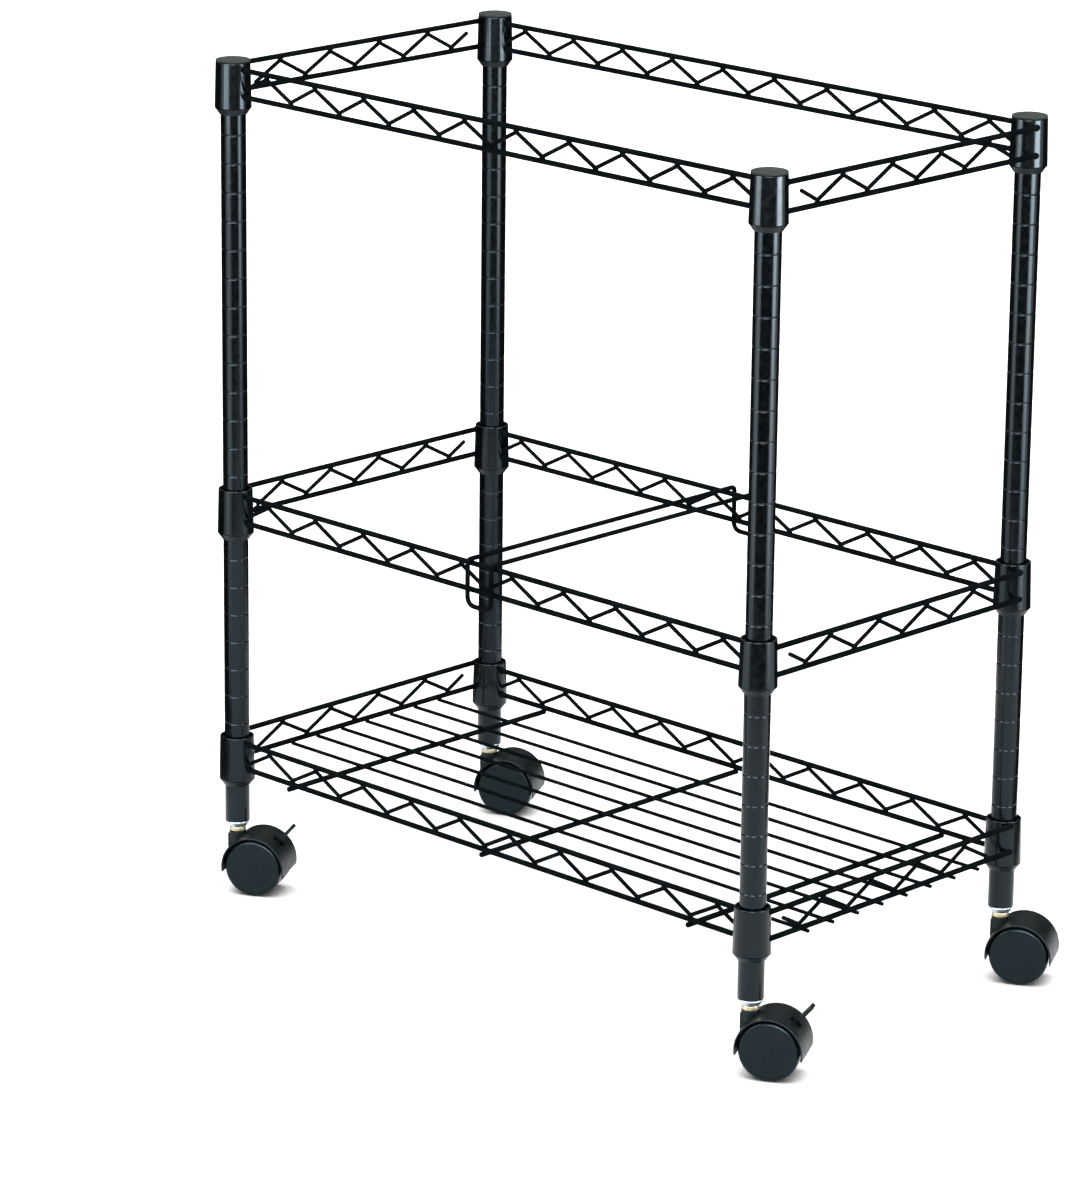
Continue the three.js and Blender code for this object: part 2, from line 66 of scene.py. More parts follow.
# %% [markdown]
# ## The camera
# The photograph looks down on the right front corner through a long lens, so the upright posts stay almost
# parallel. A camera in Blender looks along its own -Z axis. Tipping it up from the floor, turning it about the
# vertical and then rolling it by half a degree gives its matrix from three angles that can each be read alone.

# %% Camera
CAMERA_PLACE = Vector((3.045, -3.226, 1.636))
CAMERA_TURN = math.radians(44.27)
CAMERA_TIP = math.radians(16.72)
CAMERA_ROLL = math.radians(0.60)
CAMERA_LENS = 160.4


def aim_camera():
    camera = bpy.data.objects.new("camera", bpy.data.cameras.new("camera"))
    bpy.context.collection.objects.link(camera)
    camera.data.lens = CAMERA_LENS
    turn = Matrix.Rotation(CAMERA_TURN, 4, "Z")
    tip = Matrix.Rotation(math.pi / 2 - CAMERA_TIP, 4, "X")
    roll = Matrix.Rotation(CAMERA_ROLL, 4, "Z")
    camera.matrix_world = Matrix.Translation(CAMERA_PLACE) @ turn @ tip @ roll
    bpy.context.scene.camera = camera
    return camera


camera = aim_camera()
print("camera", round(CAMERA_PLACE.length, 2), "m from the middle of the floor, lens", CAMERA_LENS, "mm")

# %% [markdown]
# ## Floor and light
# A product like this is photographed on a white sweep. One large pale plane does for it here, because the
# camera looks down far enough to see only floor. Black enamel shows little but what it mirrors, so the rest of
# the set is chosen for its reflections. A black cloth on the floor between camera and cart is mirrored as the dark
# stripe down the middle of a post. A black sheet behind the cart, and the low screen that rises from it, are
# mirrored as dark edges. Photographers call such things flags. All three show in reflections alone: they cast no
# shadow and the camera does not see them.

# %% Floor and flags
FLOOR_SIDE = 60
FLOOR_COLOUR = (0.9, 0.9, 0.9, 1)
CART_MIDDLE = (cad_low + cad_high) / 2
CLOTH_COLOUR = (0.016, 0.016, 0.016, 1)
CLOTH_NEAR, CLOTH_FAR = 1.36, 7.0
CLOTH_SPREAD = math.radians(100)
CLOTH_LIFT = 0.002
SHEET_NEAR, SCREEN_NEAR, SCREEN_FAR = 0.66, 0.9, 1.7
SCREEN_HEIGHT = 0.8
SHEET_SPREAD, SCREEN_SPREAD = math.radians(220), math.radians(190)
FLAG_STEPS = 16


def add_sheet(name, points, faces, colour):
    """A matt sheet of the set."""
    mesh = bpy.data.meshes.new(name)
    mesh.from_pydata(points, [], faces)
    sheet = bpy.data.objects.new(name, mesh)
    bpy.context.collection.objects.link(sheet)
    paint = bpy.data.materials.new(name)
    paint.use_nodes = True
    shader = paint.node_tree.nodes["Principled BSDF"]
    shader.inputs["Base Color"].default_value = colour
    shader.inputs["Specular IOR Level"].default_value = 0
    mesh.materials.append(paint)
    return sheet


def lay_floor():
    half = FLOOR_SIDE / 2
    corners = [(-half, -half, 0), (half, -half, 0), (half, half, 0), (-half, half, 0)]
    add_sheet("floor", corners, [(0, 1, 2, 3)], FLOOR_COLOUR)


def around_cart(swing, distance, height):
    """A place by its bearing from the cart, swing radians to the right of the camera."""
    bearing = CAMERA_TURN + swing
    away = Vector((math.sin(bearing), -math.cos(bearing), 0)) * distance
    return Vector((CART_MIDDLE.x, CART_MIDDLE.y, height)) + away


def put_flag(name, middle, spread, inner_edge, outer_edge):
    """A black band curving round the cart. Each edge is (distance, height). Only reflections show it."""
    points, faces = [], []
    for k in range(FLAG_STEPS + 1):
        swing = middle + spread * (k / FLAG_STEPS - 0.5)
        points += [around_cart(swing, *inner_edge), around_cart(swing, *outer_edge)]
        if k < FLAG_STEPS:
            faces.append((2 * k, 2 * k + 1, 2 * k + 3, 2 * k + 2))
    flag = add_sheet(name, points, faces, CLOTH_COLOUR)
    flag.visible_camera = False
    flag.visible_diffuse = False
    flag.visible_shadow = False


lay_floor()
put_flag("black cloth", 0, CLOTH_SPREAD, (CLOTH_NEAR, CLOTH_LIFT), (CLOTH_FAR, CLOTH_LIFT))
put_flag("black sheet", math.pi, SHEET_SPREAD, (SHEET_NEAR, CLOTH_LIFT), (SCREEN_NEAR, CLOTH_LIFT))
put_flag("black screen", math.pi, SCREEN_SPREAD, (SCREEN_NEAR, CLOTH_LIFT), (SCREEN_FAR, SCREEN_HEIGHT))

# %% [markdown]
# ### Lights
# A dim sky and a broad overhead light make the floor so bright that only the darkest part of a shadow shows. A pair
# of tall softboxes draws an upright band of light down each side of a post. A softbox here is a stack of panels,
# because the bands in the photograph fade from the top of a post to its foot, and one even panel could not do that.
# A white card above the camera adds small glints on rounded edges. Softboxes and card are hidden from diffuse rays,
# so they are mirrored in the enamel but throw no shadows across the floor.

# %% Lights
SKY_STRENGTH = 0.45
OVERHEAD_STRENGTH = 5.4
OVERHEAD_SPREAD = math.radians(80)
SOFTBOX_WIDTH = 0.7
CARD_SIZE = 2.5, 1.3
CARD_SWING = math.radians(-5)
CARD_DISTANCE, CARD_HEIGHT = 3.5, 1.75
CARD_GLOW = 28


def light_sky():
    sky = bpy.data.worlds.new("sky")
    sky.use_nodes = True
    sky.node_tree.nodes["Background"].inputs["Strength"].default_value = SKY_STRENGTH
    sky.node_tree.nodes["Background"].inputs["Color"].default_value = (1, 1, 1, 1)
    bpy.context.scene.world = sky


def hang_overhead():
    """A broad light straight above. It lights the floor evenly and leaves only soft shadows."""
    light = bpy.data.lights.new("overhead", "SUN")
    light.energy = OVERHEAD_STRENGTH
    light.angle = OVERHEAD_SPREAD
    overhead = bpy.data.objects.new("overhead", light)
    bpy.context.collection.objects.link(overhead)
    overhead.location = (0, 0, 3)


def stand_softbox(name, swing, distance, panels):
    """A tall light facing the cart, stacked from panels of (low, high, glow). swing is to the right of the camera."""
    inward = around_cart(swing, -1, 0) - around_cart(swing, 0, 0)
    for number, (low, high, glow) in enumerate(panels):
        light = bpy.data.lights.new(f"{name} {number}", "AREA")
        light.shape = "RECTANGLE"
        light.size = SOFTBOX_WIDTH
        light.size_y = high - low
        light.energy = glow * math.pi * SOFTBOX_WIDTH * (high - low)
        panel = bpy.data.objects.new(light.name, light)
        bpy.context.collection.objects.link(panel)
        panel.location = around_cart(swing, distance, (low + high) / 2)
        panel.rotation_euler = inward.to_track_quat("-Z", "Y").to_euler()
        panel.visible_camera = False
        panel.visible_diffuse = False


def hang_card():
    """A white card above the camera. It shows as glints on rounded edges and lights nothing else."""
    light = bpy.data.lights.new("white card", "AREA")
    light.shape = "RECTANGLE"
    light.size, light.size_y = CARD_SIZE
    light.energy = CARD_GLOW * math.pi * light.size * light.size_y
    card = bpy.data.objects.new(light.name, light)
    bpy.context.collection.objects.link(card)
    card.location = around_cart(CARD_SWING, CARD_DISTANCE, CARD_HEIGHT)
    card.rotation_euler = (CART_MIDDLE - card.location).to_track_quat("-Z", "Y").to_euler()
    card.visible_camera = False
    card.visible_diffuse = False


light_sky()
hang_overhead()
hang_card()
stand_softbox("left softbox", math.radians(-54), 1.35, [(0.03, 0.25, 2.6), (0.25, 0.46, 2.6), (0.46, 1.6, 13)])
stand_softbox("right softbox", math.radians(53), 1.54, [(0.03, 0.25, 6.5), (0.25, 0.46, 12), (0.46, 0.85, 30)])
bpy.context.scene.view_settings.view_transform = "Standard"

# %% [markdown]
# ## Finishes
# Eight finishes cover the cart. Each one is a Principled shader whose colour, roughness and bump come from noise,
# measured in the piece's own Object coordinates, so that the grain stays on a piece when it moves. A small helper
# lays the shared nodes, and every finish below then says what is its own.

# %% A grained finish
def grain_nodes(material, scale, detail):
    """A noise in the piece's own coordinates. Its features are about 1/scale metres across."""
    nodes = material.node_tree.nodes
    place = nodes.new("ShaderNodeTexCoord")
    noise = nodes.new("ShaderNodeTexNoise")
    noise.inputs["Scale"].default_value = scale
    noise.inputs["Detail"].default_value = detail
    material.node_tree.links.new(place.outputs["Object"], noise.inputs["Vector"])
    return noise


def tint(material, noise, dark, light):
    """Lets the base colour drift between two colours as the noise does."""
    ramp = material.node_tree.nodes.new("ShaderNodeValToRGB")
    ramp.color_ramp.elements[0].position = 0.35
    ramp.color_ramp.elements[0].color = (*dark, 1)
    ramp.color_ramp.elements[1].position = 0.65
    ramp.color_ramp.elements[1].color = (*light, 1)
    shader = material.node_tree.nodes["Principled BSDF"]
    material.node_tree.links.new(noise.outputs["Fac"], ramp.inputs["Fac"])
    material.node_tree.links.new(ramp.outputs["Color"], shader.inputs["Base Color"])


def vary_roughness(material, noise, smooth, rough):
    span = material.node_tree.nodes.new("ShaderNodeMapRange")
    span.inputs["From Min"].default_value = 0.3
    span.inputs["From Max"].default_value = 0.7
    span.inputs["To Min"].default_value = smooth
    span.inputs["To Max"].default_value = rough
    shader = material.node_tree.nodes["Principled BSDF"]
    material.node_tree.links.new(noise.outputs["Fac"], span.inputs["Value"])
    material.node_tree.links.new(span.outputs["Result"], shader.inputs["Roughness"])


def raise_grain(material, noise, strength, depth):
    bump = material.node_tree.nodes.new("ShaderNodeBump")
    bump.inputs["Strength"].default_value = strength
    bump.inputs["Distance"].default_value = depth
    shader = material.node_tree.nodes["Principled BSDF"]
    material.node_tree.links.new(noise.outputs["Fac"], bump.inputs["Height"])
    material.node_tree.links.new(bump.outputs["Normal"], shader.inputs["Normal"])


def new_finish(name, metallic):
    material = bpy.data.materials.new(name)
    material.use_nodes = True
    material.node_tree.nodes["Principled BSDF"].inputs["Metallic"].default_value = metallic
    return material


# %% [markdown]
# ### Powder coat
# The posts, wires and collars are dusted with black powder and baked. The coat is glossy but never dead flat:
# it has a soft orange peel a millimetre or two across, which breaks up the edges of a highlight. A paint layer
# could be built from a coat over a base. One dielectric with a peel bump looks the same on black and is simpler.
# The wires stay almost black in the photograph, so their coat is matt. A shine, however weak, turns white where a
# wire is seen nearly end on, because every glossy surface mirrors strongly at a glancing angle.

# %% Powder coat
def powder_coat(name, dark, light, shine):
    coat = new_finish(name, 0)
    tint(coat, grain_nodes(coat, 40, 4), dark, light)
    vary_roughness(coat, grain_nodes(coat, 240, 3), 0.14, 0.24)
    raise_grain(coat, grain_nodes(coat, 650, 2), 0.12, 0.0001)
    shader = coat.node_tree.nodes["Principled BSDF"]
    shader.inputs["Specular IOR Level"].default_value = shine
    shader.inputs["Specular Tint"].default_value = (0.68, 0.87, 1, 1)
    return coat


coated_steel = powder_coat("black powder coat", (0.0007, 0.0011, 0.0013), (0.0014, 0.0021, 0.0025), 0.28)
coated_wire = powder_coat("black wire coat", (0.0026, 0.0038, 0.0044), (0.0048, 0.0070, 0.0082), 0)
print("made", coated_steel.name, "and", coated_wire.name)

# %% [markdown]
# ### Moulded plastics
# The hoods and pedals are black moulded plastic with the fine texture of a sparked mould. The sleeves are smoother,
# the caps on the posts are a dull charcoal, and the wheels are a harder plastic with a blue cast. All of them follow
# one recipe with other numbers: a fine bump for the mould, and a broader noise that dulls the shine in patches.

# %% Moulded plastics
def moulded_plastic(name, dark, light, shine, cast, smooth, rough):
    """A plastic with the given base colours, specular level, colour of the shine and range of roughness."""
    plastic = new_finish(name, 0)
    tint(plastic, grain_nodes(plastic, 90, 5), dark, light)
    vary_roughness(plastic, grain_nodes(plastic, 160, 4), smooth, rough)
    raise_grain(plastic, grain_nodes(plastic, 2600, 2), 0.35, 0.00005)
    shader = plastic.node_tree.nodes["Principled BSDF"]
    shader.inputs["Specular IOR Level"].default_value = shine
    shader.inputs["Specular Tint"].default_value = (*cast, 1)
    return plastic


black_plastic = moulded_plastic(
    "satin black plastic", (0.0026, 0.0034, 0.0037), (0.0048, 0.0062, 0.0069), 0.2, (0.70, 0.93, 1), 0.34, 0.46)
sleeve_plastic = moulded_plastic(
    "smooth black plastic", (0.010, 0.013, 0.015), (0.015, 0.019, 0.022), 0.07, (0.74, 0.94, 1), 0.18, 0.26)
cap_plastic = moulded_plastic(
    "dull charcoal plastic", (0.034, 0.039, 0.038), (0.053, 0.060, 0.0585), 0, (1, 1, 1), 0.42, 0.55)
wheel_plastic = moulded_plastic(
    "wheel plastic", (0.0030, 0.0056, 0.0068), (0.0052, 0.0086, 0.0102), 0.17, (0.62, 0.90, 1), 0.22, 0.34)
print("made", [item.name for item in (black_plastic, sleeve_plastic, cap_plastic, wheel_plastic)])

# %% [markdown]
# ### Plated steel
# The bushing in each post is bright zinc and the caster stem is yellow zinc. Plating is a metal, so its colour
# sits in the reflection. A few clouds of tone and a fine grain keep it from looking like chrome.

# %% Plated steel
def plated_steel(name, dark, light, smooth, rough):
    plate = new_finish(name, 1)
    tint(plate, grain_nodes(plate, 220, 3), dark, light)
    vary_roughness(plate, grain_nodes(plate, 500, 2), smooth, rough)
    raise_grain(plate, grain_nodes(plate, 1800, 1), 0.15, 0.00005)
    return plate


zinc_steel = plated_steel("bright zinc", (0.42, 0.48, 0.52), (0.60, 0.67, 0.72), 0.34, 0.5)
yellow_zinc = plated_steel("yellow zinc", (0.36, 0.31, 0.19), (0.52, 0.47, 0.35), 0.34, 0.5)
print("made", zinc_steel.name, "and", yellow_zinc.name)

# %% [markdown]
# ## Tools for the meshes
# Nearly every piece of the cart is either turned or bent from wire. A turned piece is a profile carried round an
# axis. The Screw modifier does that too, but a few lines of bmesh give a closed mesh and can leave a slit open.
# A wire is a circle carried along a path, which is what a curve with a round bevel is, so the wires are drawn as
# curves and turned into meshes at once. In both cases the corners are rounded first, on the path or profile.

# %% Places taken from the frame
MM = 0.001
CLEARANCE = 0.3 * MM
CORNERS = ("front_left", "front_right", "rear_right", "rear_left")
TIERS = ("top", "middle", "bottom")


def middle_of(node):
    low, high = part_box(node)
    return (low + high) / 2


def post_place(corner):
    middle = middle_of(f"post_{corner}")
    return Vector((middle.x, middle.y, 0))


POSTS = {corner: post_place(corner) for corner in CORNERS}
RIM = {tier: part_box(f"{tier}_right_end_frame")[1].z for tier in TIERS}
print("posts", [round(side / MM) for side in POSTS["rear_right"] - POSTS["front_left"]][:2], "mm apart")
print("collar rims", [round(RIM[tier] / MM, 1) for tier in TIERS], "mm up")


# %% Rounding the corners of a path
def rounded(points, radius, steps=4, closed=False):
    """The path with a soft bend of about that radius at every corner."""
    points = [Vector(point) for point in points]
    count = len(points)
    path = []
    for i, corner in enumerate(points):
        if not closed and i in (0, count - 1):
            path.append(corner)
            continue
        back = points[i - 1] - corner
        ahead = points[(i + 1) % count] - corner
        reach = radius / math.tan(back.angle(ahead) / 2)
        reach = min(reach, back.length * 0.49, ahead.length * 0.49)
        start = corner + back.normalized() * reach
        end = corner + ahead.normalized() * reach
        for k in range(steps + 1):
            t = k / steps
            path.append(start * (1 - t) ** 2 + corner * 2 * t * (1 - t) + end * t ** 2)
    return path


print("a right angle becomes", len(rounded([(0, 0), (1, 0), (1, 1)], 0.1)) - 2, "points")


# %% Turning a profile
HOLD = 0.3 * MM


def held(outline):
    """The closed outline with a point near both ends of each long wall, so that smooth shading keeps it flat."""
    points = []
    for here, there in zip(outline, outline[1:] + outline[:1]):
        start, end = Vector(here), Vector(there)
        points.append(tuple(start))
        if (end - start).length > 10 * HOLD:
            inset = (end - start).normalized() * HOLD
            points += [tuple(start + inset), tuple(end - inset)]
    return points


def turned(profile, sides=64, slit=0.0):
    """A mesh turned about Z from a closed ring of (radius, height) points, open over the angle slit."""
    profile = held(profile)
    work = bmesh.new()
    steps = sides + 1 if slit else sides
    rings = []
    for k in range(steps):
        angle = slit / 2 + (math.tau - slit) * k / sides
        turn = Vector((math.cos(angle), math.sin(angle)))
        rings.append([work.verts.new((turn.x * radius, turn.y * radius, height)) for radius, height in profile])
    count = len(profile)
    for k in range(sides):
        here, there = rings[k], rings[(k + 1) % steps]
        for i in range(count):
            j = (i + 1) % count
            if profile[i][0] or profile[j][0]:
                work.faces.new((here[i], here[j], there[j], there[i]))
    if slit:
        work.faces.new(rings[0])
        work.faces.new(rings[-1])
    bmesh.ops.delete(work, geom=[vert for vert in work.verts if not vert.link_faces], context="VERTS")
    bmesh.ops.remove_doubles(work, verts=work.verts, dist=1e-7)
    bmesh.ops.recalc_face_normals(work, faces=work.faces)
    mesh = bpy.data.meshes.new("turned")
    work.to_mesh(mesh)
    work.free()
    return mesh


print("a turned ring has", len(turned([(1, 0), (2, 0), (2, 1), (1, 1)]).polygons), "faces")


# %% Drawing wires
def drawn_wires(wires, sides=12):
    """One mesh of round wires. Each is (path, radius, closed), and an open end is slightly rounded off."""
    curve = bpy.data.curves.new("wires", "CURVE")
    curve.dimensions = "3D"
    curve.bevel_depth = 1
    curve.bevel_resolution = sides // 2 - 2
    curve.use_fill_caps = True
    for path, radius, closed in wires:
        path = [Vector(point) for point in path]
        sizes = [radius] * len(path)
        if not closed:
            nib = 0.3 * radius
            path.insert(1, path[0] + (path[1] - path[0]).normalized() * nib)
            path.insert(-1, path[-1] + (path[-2] - path[-1]).normalized() * nib)
            sizes = [0.72 * radius] + [radius] * (len(path) - 2) + [0.72 * radius]
        spline = curve.splines.new("POLY")
        spline.points.add(len(path) - 1)
        spline.use_cyclic_u = closed
        for point, spot, size in zip(spline.points, path, sizes):
            point.co = (*spot, 1)
            point.radius = size
    holder = bpy.data.objects.new("wires", curve)
    mesh = bpy.data.meshes.new_from_object(holder)
    bpy.data.objects.remove(holder)
    bpy.data.curves.remove(curve)
    return mesh


print("a straight wire has", len(drawn_wires([([(0, 0, 0), (1, 0, 0)], 0.01, False)]).polygons), "faces")


# %% Joining meshes and showing a piece
CREASE = math.radians(38)


def gathered(meshes):
    """One mesh from several pairs of (mesh, matrix)."""
    work = bmesh.new()
    for mesh, matrix in meshes:
        copy = mesh.copy()
        copy.transform(matrix)
        work.from_mesh(copy)
        bpy.data.meshes.remove(copy)
    whole = bpy.data.meshes.new("gathered")
    work.to_mesh(whole)
    work.free()
    return whole


def show_piece(name, mesh, placement, finishes, body, node):
    """Puts a copy of the mesh in the scene in place of a CAD node. A face's material index picks its finish."""
    mesh = mesh.copy()
    mesh.name = name
    if mesh.materials:
        mesh.materials.clear()
    for finish in finishes:
        mesh.materials.append(finish)
    mesh.shade_smooth()
    mesh.set_sharp_from_angle(angle=CREASE)
    piece = bpy.data.objects.new(name, mesh)
    bpy.context.collection.objects.link(piece)
    piece.matrix_world = placement
    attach(piece, body)
    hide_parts(node)
    return piece


STILL = Matrix.Identity(4)
print("edges sharper than", round(math.degrees(CREASE)), "degrees stay crisp")

# %% [markdown]
# ## The posts
# A post is a steel tube with a ring groove rolled into it at every inch, so that a shelf can be clipped in at
# any height. The grooves are shallow and soft edged, and they show as faint light ticks in the bands of light.
# Cutting them with booleans would be slow, and a bump map would vanish in profile. Here they are points of the
# turned profile.

# %% Posts
POST_RADIUS = 11.1 * MM
POST_BORE = 9.8 * MM
POST_LOW, POST_HIGH = (end.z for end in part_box("post_front_left"))
GROOVE_PITCH = 25.4 * MM
GROOVE_DEPTH = 0.45 * MM
GROOVE_HALF = 0.9 * MM
GROOVE_POINTS = 8


def groove(height):
    """The outline of one rolled groove, from below to above."""
    outline = []
    for k in range(GROOVE_POINTS + 1):
        across = 2 * k / GROOVE_POINTS - 1
        depth = GROOVE_DEPTH * (1 + math.cos(math.pi * across)) / 2
        outline.append((POST_RADIUS - depth, height + across * GROOVE_HALF))
    return outline


def groove_heights():
    """One groove at every inch from the bottom rim up, half an inch off the rims."""
    count = round((POST_HIGH - RIM["bottom"]) / GROOVE_PITCH)
    return [RIM["bottom"] + (k + 0.5) * GROOVE_PITCH for k in range(count)]


def post_mesh():
    outside = []
    for height in groove_heights():
        outside += groove(height)
    edge = 0.4 * MM
    foot = [(POST_BORE, POST_LOW), (POST_RADIUS - edge, POST_LOW), (POST_RADIUS, POST_LOW + edge)]
    head = [(POST_RADIUS, POST_HIGH - edge), (POST_RADIUS - edge, POST_HIGH), (POST_BORE, POST_HIGH)]
    return turned(foot + outside + head, 48)


post = post_mesh()
for corner, place in POSTS.items():
    show_piece(f"grooved_post_{corner}", post, Matrix.Translation(place), [coated_steel],
               "cart", f"post_{corner}")
print("four posts of", len(groove_heights()), "grooves,", len(post.polygons), "faces each")

# %% [markdown]
# ## Caps
# Each post top is closed by a flat plastic cap with a soft edge, pushed in by a plug. Only its rim shows, as a
# thin dark line on the collar, so the profile spends its points on that edge.

# %% Caps
CAP_LOW = RIM["top"] + CLEARANCE
CAP_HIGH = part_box("post_cap_front_left")[1].z
COLLAR_RIM = 15.1 * MM
PLUG_RADIUS = 8.8 * MM
PLUG_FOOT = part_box("post_cap_front_left")[0].z


def cap_mesh():
    outline = [
        (0, PLUG_FOOT), (PLUG_RADIUS - 0.8 * MM, PLUG_FOOT), (PLUG_RADIUS, PLUG_FOOT + 1.5 * MM),
        (PLUG_RADIUS, CAP_LOW), (COLLAR_RIM, CAP_LOW), (COLLAR_RIM, CAP_HIGH), (0, CAP_HIGH),
    ]
    edge = rounded(outline[3:], 0.7 * MM)
    return turned(outline[:3] + [tuple(point) for point in edge])


cap = cap_mesh()
for corner, place in POSTS.items():
    show_piece(f"flat_cap_{corner}", cap, Matrix.Translation(place), [cap_plastic],
               "cart", f"post_cap_{corner}")
print("four caps,", round((CAP_HIGH - CAP_LOW) / MM, 2), "mm thick at the rim")

# %% [markdown]
# ## Split sleeves
# A two-part plastic sleeve snaps on a groove and the collar wedges down over it. All that is seen is its skirt,
# a short cone under each collar, and the slit where it was closed round the post. Turning the profile through
# less than a full circle leaves that slit open with flat walls.

# %% Sleeves
SLEEVE_BORE = 11.35 * MM
SLEEVE_SLIT = math.radians(8)
SLEEVE_RECESS = 3 * MM
SKIRT_HEIGHT = 5.4 * MM
SKIRT_HEM = 0.8 * MM
COLLAR_HEIGHT = 40 * MM
COLLAR_FOOT = 16.1 * MM
BORE_TOP, BORE_FOOT = 13.4 * MM, 14.4 * MM


def sleeve_mesh():
    """A sleeve with the collar's rim at height 0 and its slit towards +X."""
    seat = -COLLAR_HEIGHT - CLEARANCE
    hem = seat - SKIRT_HEIGHT
    outline = [
        (SLEEVE_BORE, -SLEEVE_RECESS), (SLEEVE_BORE, hem), (SLEEVE_BORE + SKIRT_HEM, hem),
        (COLLAR_FOOT - SKIRT_HEM, seat - SKIRT_HEM), (COLLAR_FOOT, seat),
        (BORE_FOOT - CLEARANCE, seat), (BORE_TOP - CLEARANCE, -SLEEVE_RECESS),
    ]
    return turned(outline, 48, SLEEVE_SLIT)


sleeve = sleeve_mesh()
for tier in TIERS:
    for corner, place in POSTS.items():
        inward = math.pi if place.x > 0 else 0
        placement = Matrix.Translation(place + Vector((0, 0, RIM[tier]))) @ Matrix.Rotation(inward, 4, "Z")
        show_piece(f"split_sleeve_{tier}_{corner}", sleeve, placement, [sleeve_plastic],
                   "cart", f"{tier}_sleeve_{corner}")
print("twelve sleeves,", len(sleeve.polygons), "faces each")

# %% [markdown]
# ## Trusses
# The sides of each tier are trusses: two rails with a thinner wire bent to and fro between them and spot welded at
# every bend. The bends are rounded by the bending pin, and each weld leaves a small bead of metal. The wires
# come from curves, which keep their thickness round a bend, and a bead is a squashed ball.

# %% Wires of a truss
RAIL_RADIUS = 2.4 * MM
RAIL_DROP = 6.4 * MM
RAIL_GAP = 23.3 * MM
ZIGZAG_RADIUS = 1.8 * MM
ZIGZAG_PITCH = 60 * MM
BEND_RADIUS = 3 * MM
SINK = 0.5 * MM


def zigzag(first, count, high, low, starts_high):
    """The corners of a zigzag along X between two rails, from the first bend on."""
    inset = RAIL_RADIUS + ZIGZAG_RADIUS - SINK
    corners = []
    for k in range(count):
        is_high = (k % 2 == 0) == starts_high
        height = high - inset if is_high else low + inset
        corners.append(Vector((first + k * ZIGZAG_PITCH / 2, 0, height)))
    return corners


def weld_bead(place, size):
    """A bead of weld metal as wide, deep and high as size says, given with the matrix that places it."""
    work = bmesh.new()
    bmesh.ops.create_icosphere(work, subdivisions=2, radius=0.5)
    bead = bpy.data.meshes.new("bead")
    work.to_mesh(bead)
    work.free()
    return bead, Matrix.Translation(place) @ Matrix.Diagonal((*size, 1))


def bend_beads(corners, low, high):
    """A flat bead where each bend of the zigzag lies on its rail."""
    beads = []
    for corner in corners:
        rail = high if corner.z > (low + high) / 2 else low
        contact = Vector((corner.x, corner.y, (rail * 0.45 + corner.z * 0.55)))
        beads.append(weld_bead(contact, (7 * MM, 3.6 * MM, 3.2 * MM)))
    return beads


print("zigzag of", round(2 * ZIGZAG_RADIUS / MM, 1), "mm wire on", round(2 * RAIL_RADIUS / MM, 1), "mm rails")

# %% [markdown]
# ### Front and rear trusses
# A long truss is welded to the collars at both ends, where the beads are the largest on the cart. The rear one
# is the same piece turned about, so it is built once in its own frame and placed six times.

# %% Long trusses
LONG_BENDS = 19
LONG_FIRST = -268 * MM
COLLAR_BEAD = Vector((5, 6.4, 7)) * MM


def half_rail(height):
    """Half the length of a rail between two collars, at that height above the lower rail."""
    drop = RAIL_DROP + RAIL_GAP - height
    return POSTS["rear_right"].x - COLLAR_RIM - (COLLAR_FOOT - COLLAR_RIM) * drop / COLLAR_HEIGHT


def long_truss_mesh():
    half = half_rail(0)
    bends = zigzag(LONG_FIRST, LONG_BENDS, RAIL_GAP, 0, True)
    slope = (bends[0].z - bends[1].z) / (ZIGZAG_PITCH / 2)
    first = Vector((-half, 0, bends[0].z - slope * (bends[0].x + half)))
    last = Vector((half, 0, bends[-1].z - slope * (half - bends[-1].x)))
    path = rounded([first] + bends + [last], BEND_RADIUS)
    wires = [(path, ZIGZAG_RADIUS, False)]
    beads = bend_beads(bends, 0, RAIL_GAP)
    for height in (0, RAIL_GAP):
        end = half_rail(height)
        wires.append(([(-end, 0, height), (end, 0, height)], RAIL_RADIUS, False))
        for side in (-1, 1):
            beads.append(weld_bead((side * (end - 0.4 * MM), 0, height), COLLAR_BEAD))
    return gathered([(drawn_wires(wires), STILL)] + beads)


long_truss = long_truss_mesh()
for tier in TIERS:
    rail = RIM[tier] - RAIL_DROP - RAIL_GAP
    for side, corner, turn in (("front", "front_left", 0), ("rear", "rear_left", math.pi)):
        placement = Matrix.Translation((0, POSTS[corner].y, rail)) @ Matrix.Rotation(turn, 4, "Z")
        show_piece(f"long_truss_{tier}_{side}", long_truss, placement, [coated_wire],
                   "cart", f"{tier}_{side}_truss")
print("six long trusses,", len(long_truss.polygons), "faces each")

# %% [markdown]
# ### End frames
# At the ends the collars and the short truss are one welded piece. The rails pass outside the collars, and the
# zigzag starts with a free end beside the front collar. The collar is a turned tube with its rim eased. It flares
# a little towards the foot, inside and out, so that it wedges on the sleeve.

# %% End frames
RAIL_OUTSET = 13.5 * MM
RAIL_END = 5.8 * MM
SHORT_BENDS = 9
SHORT_FIRST = -118 * MM
FREE_END = Vector((-20, 0, 10.9)) * MM
SHELF_LIFT = 3 * MM
RAIL_BEAD = Vector((8, 5.4, 6.4)) * MM


def collar_mesh():
    """A collar with its rim at height 0. Its faces take the second finish of the frame."""
    outline = [
        (BORE_FOOT, -COLLAR_HEIGHT), (COLLAR_FOOT, -COLLAR_HEIGHT), (COLLAR_RIM, 0), (BORE_TOP, 0),
    ]
    collar = turned([tuple(point) for point in rounded(outline, 0.6 * MM, 4, True)])
    for face in collar.polygons:
        face.material_index = 1
    return collar


